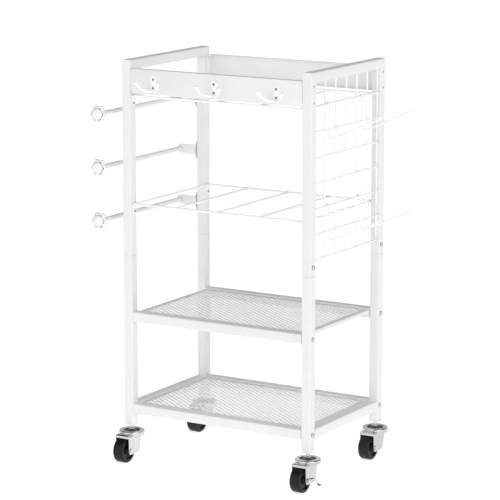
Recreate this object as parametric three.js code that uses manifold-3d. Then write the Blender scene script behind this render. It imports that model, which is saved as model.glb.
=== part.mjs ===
// A rolling gift wrap organizer: a square-tube cart on four swivel casters, with wire
// dividers for tall rolls, two mesh shelves, a wire side grid with peg hooks, ribbon rods
// with star knobs and coat hooks on its front band.
// Millimetres, +Z up, +X to the right, the front faces -Y. The origin lies on the floor,
// under the middle of the whole object.
import * as THREE from "three";
import { mergeVertices } from "three/addons/utils/BufferGeometryUtils.js";
import Module from "manifold-3d";

const wasm = await Module();
wasm.setup();

// Frame tubes. Heights are above the lower ends of the posts.
const frameWidth = 540;
const frameDepth = 370;
const postLength = 928;
const lowerPostLength = 436;
const tubeSize = 25;
const tubeWall = 1.2;
const tubeCorner = 2.5;
const lowerRailHeight = 31;
const middleRailHeight = 269;
const sleeveLength = 70;
const sleeveWall = 1.5;

// Clearance between pieces that rest on each other, how far parts of one piece run into
// each other, and how far a cutting solid runs past what it cuts.
const seatGap = 0.3;
const weld = 0.6;
const overrun = 4;

// Front and back bands: folded sheet between the posts.
const bandDrop = 20;
const bandHeight = 62;
const bandFlange = 12;
const bandThickness = 1.2;
const bandTabDepth = 21;
const bandTabInset = 7;

// Wire dividers for the rolls.
const dividerWire = 6;
const dividerCells = 4;
const upperDividerDrop = 7.5;
const middleDividerHeight = 567;
const tabWidth = 14;
const tabLength = 25;
const tabThickness = 1.6;
const tabHole = 5;
const tabHoleDrop = 17.5;

// Mesh shelves: a perforated sheet with a rim folded down all round.
const shelfThickness = 1.2;
const shelfRim = 9;
const shelfDrop = 3;
const shelfBorder = 15;
const meshColumns = 7;
const meshRows = 5;
const meshBar = 9;

// Side grid, welded from round wire.
const gridWire = 4.5;
const gridColumns = 6;
const gridRows = 7;
const gridInset = 6;
const gridHeight = 431.5;
const gridFreeTop = 57.85; // how far the uprights reach past the highest level wire

// Ribbon rods, their brackets, nuts and star knobs.
const rodDiameter = 12;
const rodOffset = 50;
const rodHeight = 523.5;
const rodPitch = 134.4;
const rodReach = 15;
const threadDiameter = 8;
const threadLength = 17;
const bracketThickness = 3;
const bracketWidth = 25;
const bracketHeight = 46;
const nutWidth = 13;
const nutHeight = 6.5;
const knobDiameter = 46;
const knobWaist = 37;
const knobThickness = 13;
const knobEdge = 2.5;
const knobHubLength = 8;
const knobHubDiameter = 20;
const knobHubFlare = 26;
const knobFace = 30;
const knobFaceStep = 1.5;
const knobDome = 3.5;
const knobLobes = 6;
const domeShares = [
  [0.9, 0.45],
  [0.5, 0.88],
];

// Double coat hooks on the front band.
const coatHookPitch = 175;
const coatHookCentreDrop = 3.3;
const coatPlateWidth = 19;
const coatPlateWaist = 13;
const coatPlateLength = 40;
const coatPlateThickness = 2.2;
const coatHoleSpacing = 20.9;
const coatHole = 4.4;
const prongDiameter = 6.2;
const prongBall = 9.5;
const prongSpread = 33.3;
const prongReach = 31;
const prongRise = 17.5;
const prongSeatShare = 0.75;

// Peg hooks that hang on the side grid.
const pegWire = 4.5;
const pegLeg = 82;
const pegTail = 11;
const pegBend = 8;
const pegReach = 146;
const pegTipLength = 12;
const pegSlopeDegrees = 24;
const pegTipDegrees = 42;
const upperHookRow = 6;
const lowerHookRow = 2;
const upperHookShares = { front: -0.6, back: 0.42 };
const lowerHookShares = { front: -0.6, back: 0.365 };

// Casters.
const casterHeight = 92;
const wheelDiameter = 64;
const wheelWidth = 28;
const wheelTrail = 36;
const wheelClearance = 4.5;
const treadCorner = 4;
const hubDiameter = 20;
const webDiameter = 46;
const webDepth = 4;
const axleDiameter = 6;
const axleHead = 9;
const axleHeadHeight = 3;
const runningGap = 0.4;
const forkWall = 2;
const forkEnd = 11;
const forkRear = 21.5;
const forkFlare = 26;
const hoodLip = 11;
const hoodTopDrop = 19;
const bowlDiameter = 66;
const bowlDepth = 4.5;
const bowlSkirt = 12;
const raceDiameter = 30;
const raceHeight = 3;
const stemDiameter = 10;
const stemLength = 26;
const collarDiameter = 18;
const collarHeight = 3;
const kingpinDiameter = 9;
const kingpinHead = 16;
const kingpinHeadHeight = 3;
const insertLength = 30;
const leverThickness = 2;
const leverEye = 10;
const leverWidth = 6;
const leverStraight = 8;
const leverRamp = 6;
const leverStep = 2.5;
const leverReach = 30;
const leverTip = 28;
const leverTab = 5;
const leverDegrees = 8;
const leverTipDegrees = 37;

// How round the curved pieces are.
const wireSides = 6;
const boltSides = 10;
const turnSides = 16;

// Places that follow from the sizes.
const postX = (frameWidth - tubeSize) / 2;
const postY = (frameDepth - tubeSize) / 2;
const innerX = frameWidth / 2 - tubeSize;
const innerY = frameDepth / 2 - tubeSize;
const railLength = 2 * (innerX - seatGap);
const bandBottom = postLength - bandDrop - bandHeight;
const forkHalf = wheelWidth / 2 + wheelClearance + forkWall;
const axleHeight = wheelDiameter / 2 - casterHeight;

const paint = new THREE.MeshStandardMaterial({ color: 0xf0f0ee, roughness: 0.38, metalness: 0 });
const mesh = new THREE.MeshStandardMaterial({ color: 0xe6e6e4, roughness: 0.45, metalness: 0 });
const zinc = new THREE.MeshStandardMaterial({ color: 0xa9abad, roughness: 0.35, metalness: 0.9 });
const chrome = new THREE.MeshStandardMaterial({ color: 0xd5d7d9, roughness: 0.12, metalness: 1 });
const rubber = new THREE.MeshStandardMaterial({ color: 0x2b2b2c, roughness: 0.55, metalness: 0 });
const plastic = new THREE.MeshStandardMaterial({ color: 0xf3f3f1, roughness: 0.3, metalness: 0 });
const darkPlastic = new THREE.MeshStandardMaterial({ color: 0x3a3a3c, roughness: 0.5, metalness: 0 });

const vector = (x, y, z) => new THREE.Vector3(x, y, z);
const xAxis = vector(1, 0, 0);
const yAxis = vector(0, 1, 0);
const zAxis = vector(0, 0, 1);

// A geometry as a solid, with its shared corners merged and its faces pointing out.
function solidOf(geometry) {
  const bare = geometry.clone();
  bare.deleteAttribute("normal");
  bare.deleteAttribute("uv");
  const merged = mergeVertices(bare);
  const at = merged.attributes.position;
  const corners = [];
  let volume = 0;
  for (let i = 0; i < merged.index.count; i += 3) {
    const [a, b, c] = [0, 1, 2].map((k) => merged.index.getX(i + k));
    if (a === b || b === c || c === a) continue;
    const [pa, pb, pc] = [a, b, c].map((k) => new THREE.Vector3().fromBufferAttribute(at, k));
    volume += pa.dot(pb.cross(pc));
    corners.push([a, b, c]);
  }
  const triVerts = new Uint32Array(corners.flatMap(([a, b, c]) => (volume < 0 ? [a, c, b] : [a, b, c])));
  return new wasm.Manifold(
    new wasm.Mesh({ numProp: 3, vertProperties: new Float32Array(at.array), triVerts }),
  );
}

// A solid as a geometry that a mesh can hold.
function geometryOf(solid) {
  const found = solid.getMesh();
  const geometry = new THREE.BufferGeometry();
  geometry.setAttribute("position", new THREE.BufferAttribute(found.vertProperties.slice(), 3));
  geometry.setIndex(new THREE.BufferAttribute(found.triVerts.slice(), 1));
  geometry.computeVertexNormals();
  return geometry;
}

const join = (solids) => solids.reduce((whole, next) => whole.add(next));
const cutAway = (solid, cuts) => cuts.reduce((whole, next) => whole.subtract(next), solid);

// The rings of a section carried along a path of points, mitred where the path bends.
function ringsAlong(path, section, side) {
  const heading = (i) => path[i + 1].clone().sub(path[i]).normalize();
  let across = side.clone();
  return path.map((point, i) => {
    const back = heading(Math.max(i - 1, 0));
    const ahead = heading(Math.min(i, path.length - 2));
    const up = new THREE.Vector3().crossVectors(back, across).normalize();
    const mitre = back.clone().add(ahead).normalize();
    const ring = section.map(([a, b]) => {
      const arm = across.clone().multiplyScalar(a).addScaledVector(up, b);
      return point.clone().add(arm).addScaledVector(back, -arm.dot(mitre) / back.dot(mitre));
    });
    across.applyQuaternion(new THREE.Quaternion().setFromUnitVectors(back, ahead));
    return ring;
  });
}

// A closed skin over rings of points. An inner set of rings makes it a tube.
function skin(rings, innerRings) {
  const count = rings[0].length;
  const points = rings.concat(innerRings ?? []).flat();
  const faces = [];
  const quad = (a, b, c, d) => faces.push(a, b, c, a, c, d);
  const wrap = (start, layers, flip) => {
    for (let layer = 0; layer < layers - 1; layer++) {
      for (let i = 0; i < count; i++) {
        const a = start + layer * count + i;
        const b = start + layer * count + ((i + 1) % count);
        if (flip) quad(b, a, a + count, b + count);
        else quad(a, b, b + count, a + count);
      }
    }
  };
  wrap(0, rings.length, false);
  const last = (rings.length - 1) * count;
  if (innerRings) {
    const inner = rings.length * count;
    wrap(inner, innerRings.length, true);
    for (let i = 0; i < count; i++) {
      const j = (i + 1) % count;
      quad(j, i, inner + i, inner + j);
      quad(last + i, last + j, inner + last + j, inner + last + i);
    }
  } else {
    for (let i = 1; i < count - 1; i++) {
      faces.push(0, i + 1, i);
      faces.push(last, last + i, last + i + 1);
    }
  }
  const geometry = new THREE.BufferGeometry().setFromPoints(points);
  geometry.setIndex(faces);
  return geometry;
}

// Sections across a run: a circle, and a square with rounded corners.
function circle(radius, sides) {
  return Array.from({ length: sides }, (_, i) => {
    const turn = (2 * Math.PI * i) / sides;
    return [radius * Math.cos(turn), radius * Math.sin(turn)];
  });
}

function roundedSquare(size, radius) {
  const straight = size / 2 - radius;
  const steps = 2;
  return [0, 1, 2, 3].flatMap((corner) =>
    Array.from({ length: steps + 1 }, (_, i) => {
      const turn = (Math.PI / 2) * (corner + i / steps);
      const middle = (Math.PI / 2) * (corner + 1 / 2);
      const x = straight * Math.sign(Math.cos(middle)) + radius * Math.cos(turn);
      const y = straight * Math.sign(Math.sin(middle)) + radius * Math.sin(turn);
      return [x, y];
    }),
  );
}

const tubeSection = roundedSquare(tubeSize, tubeCorner);
const boreSection = roundedSquare(tubeSize - 2 * tubeWall, tubeCorner - tubeWall);
const bar = (path, section, side) => solidOf(skin(ringsAlong(path, section, side)));
const rod = (path, diameter, sides, side) => bar(path, circle(diameter / 2, sides), side);

// A box given by its lowest and highest corners.
function block(low, high) {
  const size = high.clone().sub(low);
  const geometry = new THREE.BoxGeometry(size.x, size.y, size.z);
  const middle = low.clone().add(high).divideScalar(2);
  return solidOf(geometry.translate(middle.x, middle.y, middle.z));
}

// A profile of [radius, height] points turned round the Z axis.
function turned(profile, sides) {
  const points = profile.map(([radius, height]) => new THREE.Vector2(radius, height));
  return solidOf(new THREE.LatheGeometry(points, sides).rotateX(Math.PI / 2));
}

// An outline pushed up from its own plane.
function pushed(shape, depth, curveSegments) {
  return solidOf(new THREE.ExtrudeGeometry(shape, { depth, bevelEnabled: false, curveSegments }));
}

const moved = (solid, x, y, z) => solid.translate([x, y, z]);
const turnedBy = (solid, x, y, z) => solid.rotate([x, y, z]);

// Points along an arc in the XZ plane, its angles in radians from +X towards +Z.
function arcXZ(centreX, centreZ, radius, from, to, steps) {
  return Array.from({ length: steps + 1 }, (_, i) => {
    const turn = from + ((to - from) * i) / steps;
    return vector(centreX + radius * Math.cos(turn), 0, centreZ + radius * Math.sin(turn));
  });
}

const cart = new THREE.Group();

function place(name, solid, material, x, y, z, parent = cart) {
  const node = new THREE.Mesh(geometryOf(solid), material);
  node.name = name;
  node.position.set(x, y, z);
  parent.add(node);
  return node;
}

// Upper side frame: both posts and the top rail, bent from one run of tube.
function upperFrame() {
  const top = postLength - tubeSize / 2;
  const foot = lowerPostLength + seatGap;
  const path = [
    vector(0, -postY, foot),
    vector(0, -postY, top),
    vector(0, postY, top),
    vector(0, postY, foot),
  ];
  return solidOf(skin(ringsAlong(path, tubeSection, xAxis), ringsAlong(path, boreSection, xAxis)));
}

// Lower side frame: two posts with a side rail welded between them.
function lowerFrame() {
  const railZ = lowerRailHeight + tubeSize / 2;
  const railPath = [vector(0, -postY, railZ), vector(0, postY, railZ)];
  const post = (y, section, extra) =>
    bar([vector(0, y, -extra), vector(0, y, lowerPostLength + extra)], section, xAxis);
  const steel = join([
    post(-postY, tubeSection, 0),
    post(postY, tubeSection, 0),
    bar(railPath, tubeSection, xAxis),
  ]);
  return cutAway(steel, [
    post(-postY, boreSection, overrun),
    post(postY, boreSection, overrun),
    bar(railPath, boreSection, xAxis),
  ]);
}

// Sleeve inside each post, which joins its upper and lower parts.
function postSleeve() {
  const size = tubeSize - 2 * tubeWall - 2 * seatGap;
  const corner = tubeCorner - tubeWall;
  const path = [vector(0, 0, -sleeveLength / 2), vector(0, 0, sleeveLength / 2)];
  const outer = ringsAlong(path, roundedSquare(size, corner), xAxis);
  const inner = ringsAlong(path, roundedSquare(size - 2 * sleeveWall, corner), xAxis);
  return solidOf(skin(outer, inner));
}

// Socket in the foot of each post, which holds the caster's stem.
function postInsert() {
  const size = tubeSize - 2 * tubeWall - 2 * seatGap;
  const corner = tubeCorner - tubeWall;
  const plug = bar([vector(0, 0, 0), vector(0, 0, insertLength)], roundedSquare(size, corner), xAxis);
  const bore = rod(
    [vector(0, 0, -overrun), vector(0, 0, insertLength + overrun)],
    stemDiameter + 2 * seatGap,
    boltSides,
    xAxis,
  );
  return cutAway(plug, [bore]);
}

// Cross rail between a left and a right post.
function crossRail() {
  const path = [vector(-railLength / 2, 0, 0), vector(railLength / 2, 0, 0)];
  return solidOf(skin(ringsAlong(path, tubeSection, yAxis), ringsAlong(path, boreSection, yAxis)));
}

// Band: a face folded back along its top, its foot and both ends.
function band() {
  const half = railLength / 2;
  const face = block(vector(-half, 0, 0), vector(half, bandThickness, bandHeight));
  const flange = (z) => block(vector(-half, 0, z), vector(half, bandFlange, z + bandThickness));
  const tab = (x) =>
    block(vector(x, 0, bandTabInset), vector(x + bandThickness, bandTabDepth, bandHeight - bandTabInset));
  return join([face, flange(0), flange(bandHeight - bandThickness), tab(-half), tab(half - bandThickness)]);
}

// Divider: a long wire at the front and back, cross wires between the rolls, and a screw
// tab under each corner that lies against the post.
function divider() {
  const end = innerX - seatGap - dividerWire / 2;
  const wires = [];
  for (const y of [-postY, postY]) {
    wires.push(rod([vector(-end, y, 0), vector(end, y, 0)], dividerWire, wireSides, zAxis));
  }
  for (let i = 0; i <= dividerCells; i++) {
    const x = -end + (2 * end * i) / dividerCells;
    wires.push(rod([vector(x, -postY, 0), vector(x, postY, 0)], dividerWire, wireSides, zAxis));
  }
  for (const side of [-1, 1]) {
    for (const y of [-postY, postY]) {
      wires.push(dividerTab(side).translate([side * (innerX - seatGap), y, 0]));
    }
  }
  return join(wires);
}

function dividerTab(side) {
  const near = Math.min(0, -side * tabThickness);
  const plate = block(
    vector(near, -tabWidth / 2, -tabLength),
    vector(near + tabThickness, tabWidth / 2, dividerWire / 2 - weld),
  );
  const hole = rod(
    [vector(near - overrun, 0, -tabHoleDrop), vector(near + tabThickness + overrun, 0, -tabHoleDrop)],
    tabHole,
    wireSides,
    yAxis,
  );
  return cutAway(plate, [hole]);
}

// Shelf of mesh: diamonds in staggered rows, inside a plain border with a folded rim.
function meshShelf() {
  const halfX = innerX - seatGap;
  const halfY = innerY - seatGap;
  const outline = new THREE.Shape([
    new THREE.Vector2(-halfX, -halfY),
    new THREE.Vector2(halfX, -halfY),
    new THREE.Vector2(halfX, halfY),
    new THREE.Vector2(-halfX, halfY),
  ]);
  const pitchX = (2 * (halfX - shelfBorder)) / meshColumns;
  const pitchY = (2 * (halfY - shelfBorder)) / (meshRows + 1);
  for (let row = 0; row < meshRows; row++) {
    const stagger = row % 2;
    for (let column = 0; column < meshColumns - stagger; column++) {
      const x = -halfX + shelfBorder + pitchX * (column + (1 + stagger) / 2);
      const y = -halfY + shelfBorder + pitchY * (row + 1);
      const wide = (pitchX - meshBar) / 2;
      const deep = pitchY - meshBar;
      outline.holes.push(
        new THREE.Path([
          new THREE.Vector2(x - wide, y),
          new THREE.Vector2(x, y + deep),
          new THREE.Vector2(x + wide, y),
          new THREE.Vector2(x, y - deep),
        ]),
      );
    }
  }
  const sheet = moved(pushed(outline, shelfThickness, 1), 0, 0, -shelfThickness);
  const frame = block(vector(-halfX, -halfY, -shelfRim), vector(halfX, halfY, -shelfThickness / 2));
  const inside = block(
    vector(shelfThickness - halfX, shelfThickness - halfY, -shelfRim - overrun),
    vector(halfX - shelfThickness, halfY - shelfThickness, overrun),
  );
  return join([cutAway(frame, [inside]), sheet]);
}

// Side grid: upright wires with level wires welded across their outer side. Nothing crosses
// the tops of the uprights, which reach the frame's top rail.
function sideGrid() {
  const halfY = innerY - seatGap - gridWire / 2;
  const wires = [];
  for (let i = 0; i <= gridColumns; i++) {
    const y = -halfY + (2 * halfY * i) / gridColumns;
    wires.push(
      rod([vector(-gridWire / 2, y, 0), vector(-gridWire / 2, y, gridHeight)], gridWire, wireSides, xAxis),
    );
  }
  const x = gridWire / 2 - weld;
  const reach = innerY - seatGap;
  for (let i = 0; i < gridRows; i++) {
    const z = gridRowHeight(i);
    wires.push(rod([vector(x, -reach, z), vector(x, reach, z)], gridWire, wireSides, xAxis));
  }
  return join(wires);
}

function gridRowHeight(row) {
  const pitch = (gridHeight - gridFreeTop - gridWire / 2) / (gridRows - 1);
  return gridWire / 2 + pitch * row;
}

// Ribbon rod along Y with a thread at both ends, its front shoulder at the origin.
function ribbonRod(length) {
  const long = rod([vector(0, 0, 0), vector(0, length, 0)], rodDiameter, turnSides, zAxis);
  const rear = length + bracketThickness + 2 * seatGap + nutHeight + seatGap;
  const thread = rod([vector(0, -threadLength, 0), vector(0, rear, 0)], threadDiameter, boltSides, zAxis);
  return join([long, thread]);
}

// Rod bracket: a plate on the post's outer face, folded into an arm that holds the rod.
function rodBracket() {
  const plate = block(
    vector(-bracketThickness, 0, -bracketHeight / 2),
    vector(0, bracketWidth, bracketHeight / 2),
  );
  const reach = rodOffset - seatGap;
  const arm = new THREE.Shape();
  arm.moveTo(0, -bracketWidth / 2);
  arm.lineTo(0, bracketWidth / 2);
  arm.lineTo(-reach, bracketWidth / 2);
  arm.absarc(-reach, 0, bracketWidth / 2, Math.PI / 2, (3 * Math.PI) / 2, false);
  arm.holes.push(new THREE.Path().absarc(-reach, 0, threadDiameter / 2 + seatGap, 0, 2 * Math.PI, true));
  const upright = turnedBy(pushed(arm, bracketThickness, boltSides / 2), 90, 0, 0);
  return join([plate, moved(upright, 0, bracketThickness, 0)]);
}

// Hexagon nut behind the bracket.
function rodNut() {
  const path = [vector(0, 0, 0), vector(0, nutHeight, 0)];
  const across = nutWidth / Math.sqrt(3);
  const hexagon = rod(path, 2 * across, 6, zAxis);
  const bore = rod(
    [vector(0, -overrun, 0), vector(0, nutHeight + overrun, 0)],
    threadDiameter + 2 * seatGap,
    boltSides,
    zAxis,
  );
  return cutAway(hexagon, [bore]);
}

// Star knob: a lobed head with a raised round face and a flared hub, bored from behind.
function starKnob() {
  const mean = (knobDiameter + knobWaist) / 4;
  const swing = (knobDiameter - knobWaist) / 4;
  const steps = 4 * knobLobes;
  const ring = (inset, y) =>
    Array.from({ length: steps }, (_, i) => {
      const turn = (2 * Math.PI * i) / steps;
      const radius = mean + swing * Math.cos(knobLobes * turn) - inset;
      return vector(radius * Math.cos(turn), y, radius * Math.sin(turn));
    });
  const back = -knobHubLength;
  const front = back - knobThickness;
  const head = solidOf(
    skin([
      ring(knobEdge, back),
      ring(0, back - knobEdge),
      ring(0, front + knobEdge),
      ring(knobEdge, front),
    ]),
  );
  const faceRadius = knobFace / 2;
  const faceHeight = knobHubLength + knobThickness + knobFaceStep;
  const middle = turnedBy(
    turned(
      [
        [0, 0],
        [knobHubDiameter / 2, 0],
        [knobHubFlare / 2, knobHubLength + weld],
        [faceRadius, knobHubLength + knobThickness],
        [faceRadius, faceHeight],
        ...domeShares.map(([across, up]) => [faceRadius * across, faceHeight + knobDome * up]),
        [0, faceHeight + knobDome],
      ],
      turnSides,
    ),
    90,
    0,
    0,
  );
  const bore = rod(
    [vector(0, overrun, 0), vector(0, -threadLength - 2 * seatGap, 0)],
    threadDiameter + 2 * seatGap,
    boltSides,
    zAxis,
  );
  return cutAway(join([head, middle]), [bore]);
}

// Double coat hook: a waisted plate with two screw holes and two prongs with ball ends.
function coatHook() {
  const half = coatPlateWidth / 2;
  const waist = coatPlateWaist / 2;
  const top = coatPlateLength / 2 - half;
  const outline = new THREE.Shape();
  outline.moveTo(half, -top);
  outline.quadraticCurveTo(waist, -top / 2, waist, 0);
  outline.quadraticCurveTo(waist, top / 2, half, top);
  outline.absarc(0, top, half, 0, Math.PI, false);
  outline.quadraticCurveTo(-waist, top / 2, -waist, 0);
  outline.quadraticCurveTo(-waist, -top / 2, -half, -top);
  outline.absarc(0, -top, half, Math.PI, 2 * Math.PI, false);
  for (const z of [-coatHoleSpacing / 2, coatHoleSpacing / 2]) {
    outline.holes.push(new THREE.Path().absarc(0, z, coatHole / 2, 0, 2 * Math.PI, true));
  }
  const plate = turnedBy(pushed(outline, coatPlateThickness, 2), 90, 0, 0);
  const rootZ = -coatPlateLength / 2 + prongDiameter / 2;
  const inside = coatPlateThickness * prongSeatShare;
  const spreadShares = [0.12, 0.26, 0.68, 1];
  const reachShares = [0, 0.3, 0.72, 1];
  const riseShares = [0, -0.06, 0.3, 1];
  const prongs = [-1, 1].map((side) => {
    const curve = new THREE.CatmullRomCurve3(
      spreadShares.map((share, i) =>
        vector(
          side * prongSpread * share,
          -inside - (prongReach - inside) * reachShares[i],
          rootZ + (prongRise + prongDiameter / 2) * riseShares[i],
        ),
      ),
    );
    const ball = solidOf(new THREE.SphereGeometry(prongBall / 2, 8, 5));
    const tip = curve.getPoint(1);
    return join([
      rod(curve.getPoints(5), prongDiameter, wireSides, xAxis),
      moved(ball, tip.x, tip.y, tip.z),
    ]);
  });
  return join([plate, ...prongs]);
}

// Peg hook: a tail and loop over a grid wire, a leg down the grid, and a sloping arm with
// an upturned tip. Its origin is the centre of the grid wire.
function pegHook() {
  const loop = gridWire / 2 + seatGap + pegWire / 2;
  const slope = THREE.MathUtils.degToRad(pegSlopeDegrees);
  const tip = THREE.MathUtils.degToRad(pegTipDegrees);
  const bendX = loop + pegBend;
  const bendZ = pegBend - pegLeg;
  const bend = arcXZ(bendX, bendZ, pegBend, Math.PI, 1.5 * Math.PI + slope, 4);
  const start = bend[bend.length - 1];
  const run = pegReach - start.x - pegTipLength * Math.cos(tip);
  const knee = vector(pegReach - pegTipLength * Math.cos(tip), 0, start.z + run * Math.tan(slope));
  const end = vector(pegReach, 0, knee.z + pegTipLength * Math.sin(tip));
  const path = [
    vector(-loop, 0, -pegTail),
    ...arcXZ(0, 0, loop, Math.PI, 0, 5),
    ...bend,
    knee,
    end,
  ];
  return rod(path, pegWire, wireSides, yAxis);
}

// Caster stem: shank in the post, collar, kingpin through the bowl and a closed head.
function casterStem() {
  const shank = stemDiameter / 2;
  const collar = collarDiameter / 2;
  const pin = kingpinDiameter / 2;
  const head = kingpinHead / 2;
  const seat = raceHeight + seatGap - hoodTopDrop;
  const under = -hoodTopDrop - forkWall - seatGap;
  return turned(
    [
      [0, under - kingpinHeadHeight],
      [head, under - kingpinHeadHeight],
      [head, under],
      [pin, under],
      [pin, seat],
      [collar, seat],
      [collar, seat + collarHeight],
      [shank, seat + 2 * collarHeight],
      [shank, stemLength],
      [0, stemLength],
    ],
    boltSides,
  );
}

// Caster fork: a shallow bowl with a skirt turned down round it, over a hood whose sides run
// down to the axle.
function casterFork() {
  const rim = bowlDiameter / 2;
  const race = raceDiameter / 2;
  const bore = kingpinDiameter / 2 + seatGap;
  const floor = -hoodTopDrop;
  const bowl = turned(
    [
      [bore, floor - forkWall],
      [rim - forkWall, floor - forkWall],
      [rim - forkWall, floor + bowlDepth - bowlSkirt],
      [rim, floor + bowlDepth - bowlSkirt],
      [rim, floor + bowlDepth],
      [rim - forkWall, floor + bowlDepth],
      [rim - 2 * forkWall, floor],
      [race, floor],
      [race - forkWall, floor + raceHeight],
      [bore, floor + raceHeight],
      [bore, floor - forkWall],
    ],
    turnSides,
  );
  const bottom = axleHeight - forkEnd;
  const hood = hoodSolid(0, floor - forkWall / 2, bottom - overrun);
  const hollow = hoodSolid(forkWall, floor - forkWall, bottom - 2 * overrun);
  const profile = forkProfile(bottom);
  const lipFoot = axleHeight + wheelDiameter / 2;
  const mouth = block(
    vector(forkWall - forkHalf, -wheelTrail - hoodLip - overrun, bottom - overrun),
    vector(forkHalf - forkWall, -wheelTrail, lipFoot),
  );
  const axleHole = rod(
    [vector(-forkHalf - overrun, -wheelTrail, axleHeight), vector(forkHalf + overrun, -wheelTrail, axleHeight)],
    axleDiameter + 2 * seatGap,
    boltSides,
    zAxis,
  );
  const pinHole = rod(
    [vector(0, 0, floor - 3 * forkWall), vector(0, 0, overrun)],
    kingpinDiameter + 2 * seatGap,
    turnSides,
    xAxis,
  );
  return cutAway(join([bowl, hood.intersect(profile)]), [hollow, mouth, axleHole, pinHole]);
}

// The hood seen from above: straight sides by the wheel and a round back.
function hoodSolid(inset, top, bottom) {
  const half = forkHalf - inset;
  const rear = forkRear - inset;
  const front = -wheelTrail - hoodLip + inset;
  const plan = new THREE.Shape();
  plan.moveTo(half, front);
  plan.lineTo(half, -forkFlare);
  plan.bezierCurveTo(half, -forkFlare / 2, rear, -forkFlare / 2, rear, 0);
  plan.absarc(0, 0, rear, 0, Math.PI, false);
  plan.bezierCurveTo(-rear, -forkFlare / 2, -half, -forkFlare / 2, -half, -forkFlare);
  plan.lineTo(-half, front);
  return moved(pushed(plan, top - bottom, 3), 0, 0, bottom);
}

// The fork seen from its side: upright in front, rounded at the axle, level under the wheel's
// back and drawn up behind it.
function forkProfile(bottom) {
  const backShares = [
    [-0.45, 0],
    [0.5, 0.25],
    [1, 0.42],
  ];
  const fall = -hoodTopDrop - bottom;
  const side = new THREE.Shape();
  side.moveTo(forkRear + overrun, 0);
  side.lineTo(-wheelTrail - forkEnd, 0);
  side.lineTo(-wheelTrail - forkEnd, axleHeight);
  side.absarc(-wheelTrail, axleHeight, forkEnd, Math.PI, 1.5 * Math.PI, false);
  for (const [along, up] of backShares) side.lineTo(forkRear * along, bottom + fall * up);
  side.lineTo(forkRear + overrun, bottom + fall);
  const slab = turnedBy(pushed(side, 2 * bowlDiameter, 3), 90, 0, 90);
  return moved(slab, -bowlDiameter, 0, 0);
}

// Wheel about the X axis: tread with rounded shoulders, web and hub.
function casterWheel() {
  const half = wheelWidth / 2;
  const radius = wheelDiameter / 2;
  const bore = axleDiameter / 2 + runningGap;
  const hub = hubDiameter / 2;
  const web = webDiameter / 2;
  const side = [
    [bore, half],
    [hub, half],
    [hub, half - webDepth],
    [web, half - webDepth],
    [web, half],
    [radius - treadCorner, half],
    [radius, half - treadCorner],
  ];
  const lower = side.map(([r, z]) => [r, -z]);
  const profile = [...lower, ...side.reverse(), lower[0]];
  return turnedBy(turned(profile, turnSides), 0, 90, 0);
}

// Axle bolt through the fork, with a head at each end. Where the fork carries a brake
// lever, the bolt is longer by what the lever takes up.
function casterAxle(leverRoom) {
  const half = forkHalf + seatGap;
  const pin = axleDiameter / 2;
  const head = axleHead / 2;
  return turnedBy(
    turned(
      [
        [0, -half - axleHeadHeight],
        [head, -half - axleHeadHeight],
        [head, -half],
        [pin, -half],
        [pin, half + leverRoom],
        [head, half + leverRoom],
        [head, half + leverRoom + axleHeadHeight],
        [0, half + leverRoom + axleHeadHeight],
      ],
      boltSides,
    ),
    0,
    90,
    0,
  );
}

// Brake lever: an eye on the axle, an arm that steps out past the fork, a tip bent down
// behind the wheel and a foot tab folded out at its end.
function brakeLever() {
  const sheet = leverThickness / 2;
  const half = leverWidth / 2;
  const fall = THREE.MathUtils.degToRad(leverTipDegrees);
  const out = sheet + leverStep;
  const endY = leverReach + leverTip * Math.cos(fall);
  const endZ = -leverTip * Math.sin(fall);
  const path = [
    vector(sheet, 0, 0),
    vector(sheet, leverStraight, 0),
    vector(out, leverStraight + leverRamp, 0),
    vector(out, leverReach, 0),
    vector(out, endY, endZ),
    vector(out + leverTab, endY, endZ),
  ];
  const section = [
    [-sheet, -half],
    [sheet, -half],
    [sheet, half],
    [-sheet, half],
  ];
  const eye = rod([vector(0, 0, 0), vector(leverThickness, 0, 0)], leverEye, boltSides, yAxis);
  const hole = rod(
    [vector(-overrun, 0, 0), vector(overrun, 0, 0)],
    axleDiameter + 2 * runningGap,
    boltSides,
    yAxis,
  );
  return turnedBy(cutAway(join([bar(path, section, xAxis), eye]), [hole]), -leverDegrees, 0, 0);
}

const sides = [
  ["left", -1],
  ["right", 1],
];
const ends = [
  ["front", -1],
  ["back", 1],
];

for (const [side, x] of sides) {
  place(side + "_upper_frame", upperFrame(), paint, x * postX, 0, 0);
  place(side + "_lower_frame", lowerFrame(), paint, x * postX, 0, 0);
}

for (const [end, y] of ends) {
  for (const [side, x] of sides) {
    const corner = end + "_" + side;
    place(corner + "_post_sleeve", postSleeve(), zinc, x * postX, y * postY, lowerPostLength);
    place(corner + "_post_insert", postInsert(), darkPlastic, x * postX, y * postY, 0);
    placeCaster(corner, x * postX, y * postY, corner === "front_right" || corner === "back_left");
  }
  place("middle_" + end + "_rail", crossRail(), paint, 0, y * postY, middleRailHeight + tubeSize / 2);
  place("lower_" + end + "_rail", crossRail(), paint, 0, y * postY, lowerRailHeight + tubeSize / 2);
  const panel = place(end + "_band", band(), paint, 0, (y * frameDepth) / 2, bandBottom);
  if (y > 0) panel.rotation.z = Math.PI;
}

place("upper_divider", divider(), paint, 0, 0, bandBottom - upperDividerDrop);
place("middle_divider", divider(), paint, 0, 0, middleDividerHeight);
place("middle_mesh_shelf", meshShelf(), mesh, 0, 0, middleRailHeight + tubeSize - shelfDrop);
place("lower_mesh_shelf", meshShelf(), mesh, 0, 0, lowerRailHeight + tubeSize - shelfDrop);

const gridFoot = postLength - tubeSize - seatGap - gridHeight;
place("side_grid", sideGrid(), paint, frameWidth / 2 - gridInset, 0, gridFoot);

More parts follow.
